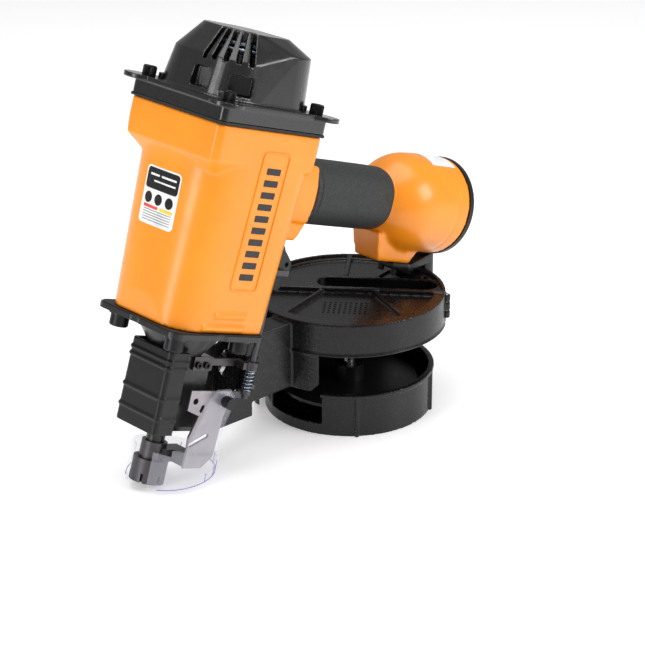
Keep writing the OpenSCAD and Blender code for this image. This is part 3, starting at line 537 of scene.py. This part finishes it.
def barrel_ring(z, steps=96):
    """Level section of the barrel: a squared circle, flattened near its foot."""
    t = (z - HOUSING_Z) / (BARREL_TOP - HOUSING_Z)
    half_x = FOOT_HALF + (BARREL_HALF - FOOT_HALF) * min(1, t) + max(0, t - 1) ** 2 * 90
    half_y = FOOT_HALF + (SIDE_HALF - FOOT_HALF) * t
    flat = 41.4 + (z - HOUSING_Z) * 0.17
    ring = []
    for i in range(steps):
        a = math.tau * i / steps
        c, s = math.cos(a), math.sin(a)
        squareness = BACK_SQUARENESS if c > 0 else FRONT_SQUARENESS
        r = (abs(c / half_x) ** squareness + abs(s / half_y) ** squareness) ** (-1 / squareness)
        x, y = r * c, r * s
        ring.append((max(-flat, min(flat, x)), max(-flat, min(flat, y)), z))
    return ring


def chamfered_square(half, corner):
    a, b = half, half - corner
    return [(a, -b), (a, b), (b, a), (-b, a), (-a, b), (-a, -b), (-b, -a), (b, -a)]


def handle_matrix(x=0):
    """Local Z runs back along the handle's axis."""
    return moved(x, 0, HANDLE_Z) @ rotated(90, "Y")


def stadium(r, rise, steps=24):
    """Outline of the handle's section, with its long side along local X."""
    out = []
    for sign in (1, -1):
        for i in range(steps + 1):
            a = math.pi * (i / steps - 0.5) + (0 if sign > 0 else math.pi)
            out.append((sign * rise + r * math.cos(a), r * math.sin(a)))
    return out


def bulb_outline():
    """Outline (r, x) of the air chamber, from the handle's axis out and back to it."""
    shoulder = [(BULB_R * math.sin(math.radians(a)), BULB_MID - BULB_R * math.cos(math.radians(a)))
                for a in range(24, 91, 6)]
    step_ring = [(BULB_R, 225), (BULB_R - 0.5, 226.2), (BULB_R - 0.5, 227.6), (BULB_R, 228.8)]
    return [(0, 150), (15, 150)] + shoulder + step_ring + [(BULB_R, BULB_END), (0, BULB_END)]


def make_housing():
    bm = bmesh.new()
    levels = [HOUSING_Z + 0.2 + i * 3.6 for i in range(30)] + [235, 239, 243, 247, 251]
    add_points(bm, [barrel_ring(z) for z in levels])
    # flared head
    head = chamfered_square(HEAD_HALF, 4.2)
    flare = chamfered_square(HEAD_HALF - 14, 4.2)
    neck = chamfered_square(HEAD_HALF - 0.5, 4.2)
    add_hull(bm, [(x, y, z) for x, y in head for z in (262, HOUSING_TOP - 0.3)]
             + [(x, y, 251) for x, y in neck] + [(x, y, 236.5) for x, y in flare])
    # handle tube and trigger housing
    add_prism(bm, stadium(GRIP_R - 1.6, 2.5), 38, 168, handle_matrix())
    add_hull(bm, [(40, y, z) for y in (-17, 17) for z in (206, 214)]
             + [(84, y, z) for y in (-17, 17) for z in (206, 214)]
             + [(40, y, 194) for y in (-15, 15)] + [(79, y, 194) for y in (-15, 15)]
             + [(82, y, 199) for y in (-15.5, 15.5)])
    add_hull(bm, [(40, y, z) for y in (-20, 20) for z in (210, 254)]
             + [(42, y, z) for y in (-24, 24) for z in (222, 244)]
             + [(84.4, y, z) for y in (-19, 19) for z in (208.5, 251.5)]
             + [(84.4, y, z) for y in (-21.5, 21.5) for z in (220, 240)])
    # air chamber and its web
    add_turned(bm, bulb_outline(), handle_matrix(), 96)
    add_hull(bm, [(x, y, z) for x, y, z in [
        (168, -15, 206), (168, 15, 206), (224, -14, 203), (224, 14, 203),
        (176, -13, 183.4), (176, 13, 183.4), (213, -13, 183.4), (213, 13, 183.4),
        (176, -13, 192), (176, 13, 192), (213, -13, 192), (213, 13, 192)]])
    add_hull(bm, [(188, -20, 206), (188, 20, 206), (206, -24, 204), (206, 24, 204),
                  (206, -12, 190), (206, 12, 190), (190, -12, 192), (190, 12, 192)])
    # ribs low on the left face
    for x, z, length, y in ((-12, 142, 30, 44.4), (-20, 132.5, 40, 43.2)):
        add_tube(bm, [(x + length * i / 6, -y, z) for i in range(7)], 2.1)
    cutters = []
    slot = bmesh.new()
    add_box(slot, (50, -12.5, 188), (79.5, 12.5, 205.5))
    cutters.append(slot)
    for reach in ((-1, 1), (1, 1), (-1, -1), (1, -1)):
        hole = bmesh.new()
        add_cylinder(hole, 4.2, HOUSING_Z - 3, HOUSING_Z + 15, moved(31 * reach[0], 31 * reach[1], 0))
        cutters.append(hole)
    bore = bmesh.new()
    add_cylinder(bore, 33.2, HOUSING_Z - 3, 147)
    add_cylinder(bore, 38, 146, 266)
    add_cylinder(bore, 41, 265.8, 285)
    cutters.append(bore)
    return fused("housing_skin", bm, "housing_paint", 1.0, 6, cutters=cutters,
                 replaces=["body_casting"], keep=0.6)


# ---------------------------------------------------------------- bolts and springs


def polar_ring(radius, z, matrix, steps=72):
    """Level ring whose radius is a function of the angle."""
    out = []
    for i in range(steps):
        a = math.tau * i / steps
        out.append(matrix @ Vector((radius(a) * math.cos(a), radius(a) * math.sin(a), z)))
    return out


def add_socket_bolt(bm, r, h, shank, length, matrix, key=2.6, depth=3.6, knurl=0.0):
    """Socket head screw that stands on its seat at z 0, with its shank below."""
    def plain(radius):
        return lambda a: radius

    def knurled(a):
        return r - knurl * (0.5 + 0.5 * math.cos(36 * a))

    def hexagon(a):
        return key / math.cos((a + math.pi / 6) % (math.pi / 3) - math.pi / 6)

    edge = 0.12 * r
    steps = 144 if knurl else 72
    rings = [(plain(shank), -length), (plain(shank), 0), (plain(r - edge / 2), 0),
             (knurled, edge / 2), (knurled, h - edge * 1.4), (plain(r - knurl), h - edge * 1.2),
             (plain(r - edge * 0.5), h - edge * 0.3), (plain(r - edge), h),
             (lambda a: hexagon(a) + 0.5, h), (hexagon, h - 0.5), (hexagon, h - depth),
             (plain(key * 0.5), h - depth - 0.5)]
    add_points(bm, [polar_ring(radius, z, matrix, steps) for radius, z in rings])


def make_bolts():
    corners = [(x, y) for x in (-1, 1) for y in (-1, 1)]
    bm = bmesh.new()
    for x, y in corners:
        add_socket_bolt(bm, 5, 7, CAP_BOLT_R, 34,
                        moved(CAP_BOLT_AT * x, CAP_BOLT_AT * y, CAP_SEAT), knurl=0.35)
    piece("cap_bolts_skin", bm, "bolt_steel", replaces=["cap_bolts"])
    bm = bmesh.new()
    for x, y in corners:
        seat = moved(NOSE_BOLT_AT * x, NOSE_BOLT_AT * y, NOSE_SEAT) @ rotated(180, "X")
        add_socket_bolt(bm, 7, 9, NOSE_BOLT_R, 20, seat, key=3.5, depth=4.5)
    piece("nose_bolts_skin", bm, "bolt_steel", replaces=["nose_bolts"])


def add_helix(bm, r, wire, z0, z1, turns, matrix=None, per_turn=28):
    """Compression spring with closed end coils."""
    path = []
    count = int(turns * per_turn)
    low, high = z0 + wire / 2, z1 - wire / 2
    for i in range(count + 1):
        turn = turns * i / count
        rise = min(1.0, max(0.0, (turn - 0.8) / (turns - 1.6)))
        place = Vector((r * math.cos(math.tau * turn), r * math.sin(math.tau * turn),
                        low + (high - low) * rise))
        path.append((matrix or Matrix.Identity(4)) @ place)
    add_tube(bm, path, wire / 2, 10)


def spring(node, r, wire, z0, z1, turns, matrix=None):
    """A coil spring in place of its CAD sleeve."""
    matrix = matrix or Matrix.Identity(4)
    bm = bmesh.new()
    add_helix(bm, r, wire, z0, z1, turns, matrix)
    obj = piece(node + "_coil", bm, "spring_steel", frame["nodes"][node]["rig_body"],
                replaces=[node])
    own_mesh(obj)


def make_springs():
    spring("head_valve_spring", 20, 3, 293.2, 331.4, 6)
    spring("trigger_valve_spring", 3.4, 1, 212.1, 221.5, 6,
           moved(74, 0, 0))
    spring("trip_spring", 3.4, 1, 82.1, 97.8, 7, moved(53, -27, 0))
    spring("feed_spring", 6, 1.6, 44.2, 60.8, 6,
           moved(0, 27, 88) @ rotated(90, "Y"))
    spring("latch_spring", 1.2, 0.8, 92.2, 99.8, 6,
           moved(66.5, LATCH_Y, 0))


# ---------------------------------------------------------------- grip, labels and small parts


def add_handle_skin(bm, profile, rise=2.5):
    """Closed tube of stadium sections; the profile lists (x, r) round the wall."""
    rings = [[handle_matrix() @ Vector((px, py, x)) for px, py in stadium(r, rise)]
             for x, r in profile]
    add_points(bm, rings + rings[:1], closed_ends=False)


def make_grip():
    bm = bmesh.new()
    outer = [(85.2, 21.2), (85.9, 22), (88.5, 22.2), (89.3, 21.5), (90.2, 21.5), (91, 22.1),
             (100, 22.35), (120, 22.4), (150, 22.3), (162, 22.1), (166, 22), (168.5, 21.3),
             (169.5, 20.9)]
    add_handle_skin(bm, outer + [(169.5, 20.45), (85.2, 20.45)])
    piece("grip_sleeve", bm, "grip_rubber", replaces=["handle_grip"])


def add_front_patch(bm, y0, y1, z0, z1, r, lift):
    """Rounded sticker that follows the barrel's front, in the front face's frame."""
    rings = []
    for i in range(PATCH_STEPS + 1):
        y = y0 + (y1 - y0) * (1 - math.cos(math.pi * i / PATCH_STEPS)) / 2
        inset = min(y - y0, y1 - y)
        corner = r - math.sqrt(max(0.0, r * r - (r - inset) ** 2)) if inset < r else 0.0
        curve = (1 - (abs(y) / FRONT_R) ** FRONT_SQUARENESS) ** (1 / FRONT_SQUARENESS)
        face = FRONT_R - FRONT_R * curve
        outer, inner = face - lift, face + PATCH_DEPTH
        low, high = z0 + corner, z1 - corner
        rings.append([FRONT @ Vector(v) for v in (
            (outer, y, low), (outer, y, high), (inner, y, high), (inner, y, low))])
    add_points(bm, rings)


def sticker(name, material, patches, lift, replaces=()):
    bm = bmesh.new()
    for y0, y1, z0, z1, r in patches:
        add_front_patch(bm, y0, y1, z0, z1, r, lift)
    piece(name, bm, material, replaces=replaces)


def make_label():
    y0, y1, z0, z1 = -18, 19, 65, 106
    sticker("data_label_base", "label_white", [(y0, y1, z0, z1, 3.5)], 0.25, ["data_label"])
    sticker("data_label_head", "label_black", [(y0 + 1.2, y1 - 1.2, z1 - 16, z1 - 1.2, 2.6)], 0.3)
    sticker("data_label_bars", "label_white",
            [(-14, 2, 99.4, 100.8, 0.5), (4, 14, 99.4, 100.8, 0.5), (-14, 9, 95.2, 96.4, 0.5)], 0.34)
    sticker("data_label_discs", "label_black",
            [(-14.5, -6.5, 79.6, 87.6, 4), (-3, 5, 79.6, 87.6, 4), (8, 16, 79.6, 87.6, 4)], 0.31)
    sticker("data_label_lines", "label_grey",
            [(-15, 15, z, z + 0.7, 0.3) for z in (67.6, 69.4, 71.2, 73, 74.8)], 0.31)
    sticker("data_label_yellow", "label_yellow", [(-15.5, -2, 76.4, 78.6, 0.3)], 0.31)
    sticker("data_label_red", "label_red", [(0, 15.5, 76.4, 78.6, 0.3)], 0.31)


def make_side_frame():
    bm = bmesh.new()
    outline = rounded([(-4, 33), (21, 33), (21, 134), (-4, 134)], 4, 6)
    add_tube(bm, [LEFT @ Vector((x, -0.1, z)) for x, z in outline], 0.9, 10, closed=True)
    piece("side_frame", bm, "housing_paint")
    bm = bmesh.new()
    for i in range(10):
        z = 41 + 8.6 * i
        bar = rounded([(2, z), (15, z), (15, z + 4.6), (2, z + 4.6)], 0.6, 3)
        add_prism(bm, bar, -0.2, 0.4, LEFT @ rotated(90, "X"))
    piece("side_bars", bm, "label_black", replaces=["side_decal"])


def make_shield_trim():
    """Tinted rim and slit edges of the debris shield; its rim is level with the ground."""
    def rim(turn, rise):
        a = math.radians(turn)
        x, y = SHIELD_X + SHIELD_R * math.cos(a), SHIELD_R * math.sin(a)
        return Vector((x, y, (SHIELD_GAP + x * math.sin(LEAN)) / math.cos(LEAN) + rise))

    bm = bmesh.new()
    for turn in range(-80, 81, 20):
        add_tube(bm, [rim(turn, 0.5), rim(turn, 7)], 0.3, 8)
    add_tube(bm, [rim(turn, 0.4) for turn in range(-146, 147, 4)], 0.35, 8)
    piece("shield_trim", bm, "shield_edge", "contact_trip")


def rim_bead(name, body, start, end):
    """Thin bead along the lower edge of the magazine's rim."""
    bm = bmesh.new()
    add_tube(bm, [Vector((DRUM_R * math.cos(math.radians(a)), DRUM_R * math.sin(math.radians(a)),
                          RIM_Z + 1)) for a in range(start, end + 1, 3)], 0.9, 8)
    piece(name, bm, "magazine_black", body, DRUM)


def make_magazine_details():
    rim_bead("cover_bead", "magazine_cover", 190, 307)
    rim_bead("housing_bead", "tool", -43, 128)
    bm = bmesh.new()
    for row in range(6):
        for column in range(9):
            at = moved(-16 + 4 * column, -22 - 4 * row, 0)
            add_cylinder(bm, 0.9, DECK_Z - 0.3, DECK_Z + 0.45, at, 12)
    piece("deck_dots", bm, "magazine_black", "magazine_cover", SEAM)


# Node, voxel size in mm, rounds of smoothing, share of the faces kept
SOFTENED = [
    ("cylinder_cap", 0.6, 2, 0.5), ("magazine_cover", 0.8, 2, 0.4),
    ("magazine_housing", 0.8, 2, 0.4), ("magazine_tub", 0.8, 2, 0.4),
    ("magazine_bracket", 0.7, 2, 0.4), ("nose_guard", 0.7, 2, 0.4), ("trigger", 0.5, 2, 0.5),
]


def make_softened_nodes():
    for node, voxel, smooth, keep in SOFTENED:
        softened_node(node, NODE_MATERIAL[node], voxel, smooth, keep)


# ---------------------------------------------------------------- stage


def make_stage():
    n = Nodes("floor")
    n.set(Base_Color=n.tint(n.noise(3, 2), (0.90, 0.90, 0.91), (0.93, 0.93, 0.94)))
    n.set(Roughness=0.35, Specular_IOR_Level=0.35)
    n.set(Emission_Color=(1, 1, 1, 1), Emission_Strength=0.3)
    MATERIALS["floor"] = n.material
    bm = bmesh.new()
    side = 6000
    add_box(bm, (-side, -side, -20), (side, side, -0.05))
    floor = make_object("floor", bm, "floor", Matrix.Identity(4))
    world = bpy.data.worlds.new("studio")
    world.use_nodes = True
    world.node_tree.nodes["Background"].inputs["Color"].default_value = (1, 1, 1, 1)
    world.node_tree.nodes["Background"].inputs["Strength"].default_value = 0.38
    bpy.context.scene.world = world
    softboxes = [
        ("key", (0.75, -1.45, 0.95), 0.9, 0.9, 17),
        ("front", (-1.7, 0.1, 0.75), 0.5, 1.3, 12),
        ("top", (0.0, 0.1, 1.9), 1.6, 1.6, 22),
    ]
    target = Vector((0.0, 0.0, 0.16))
    for name, place, width, height, power in softboxes:
        light = bpy.data.lights.new(name, "AREA")
        light.shape = "RECTANGLE"
        light.size = width
        light.size_y = height
        light.energy = power
        obj = bpy.data.objects.new(name, light)
        obj.location = place
        obj.rotation_euler = (target - Vector(place)).to_track_quat("-Z", "Y").to_euler()
        bpy.context.scene.collection.objects.link(obj)


def make_camera():
    data = bpy.data.cameras.new("camera")
    data.lens = 115.8
    data.sensor_width = 36
    data.sensor_fit = "HORIZONTAL"
    obj = bpy.data.objects.new("camera", data)
    target = NOSE_TIP + Vector((0.1783, 0, 0.0775))
    azimuth, elevation, distance = math.radians(-46.8), math.radians(23), 1.6
    away = Vector((-math.cos(elevation) * math.cos(azimuth), math.cos(elevation) * math.sin(azimuth),
                   math.sin(elevation)))
    obj.location = target + away * distance
    obj.rotation_euler = (-away).to_track_quat("-Z", "Y").to_euler()
    bpy.context.scene.collection.objects.link(obj)
    bpy.context.scene.camera = obj


make_camera()
make_stage()
dress_nodes()
make_housing()
make_bolts()
make_springs()
make_grip()
make_label()
make_side_frame()
make_shield_trim()
make_magazine_details()
make_softened_nodes()

bpy.context.scene.view_settings.view_transform = "Standard"
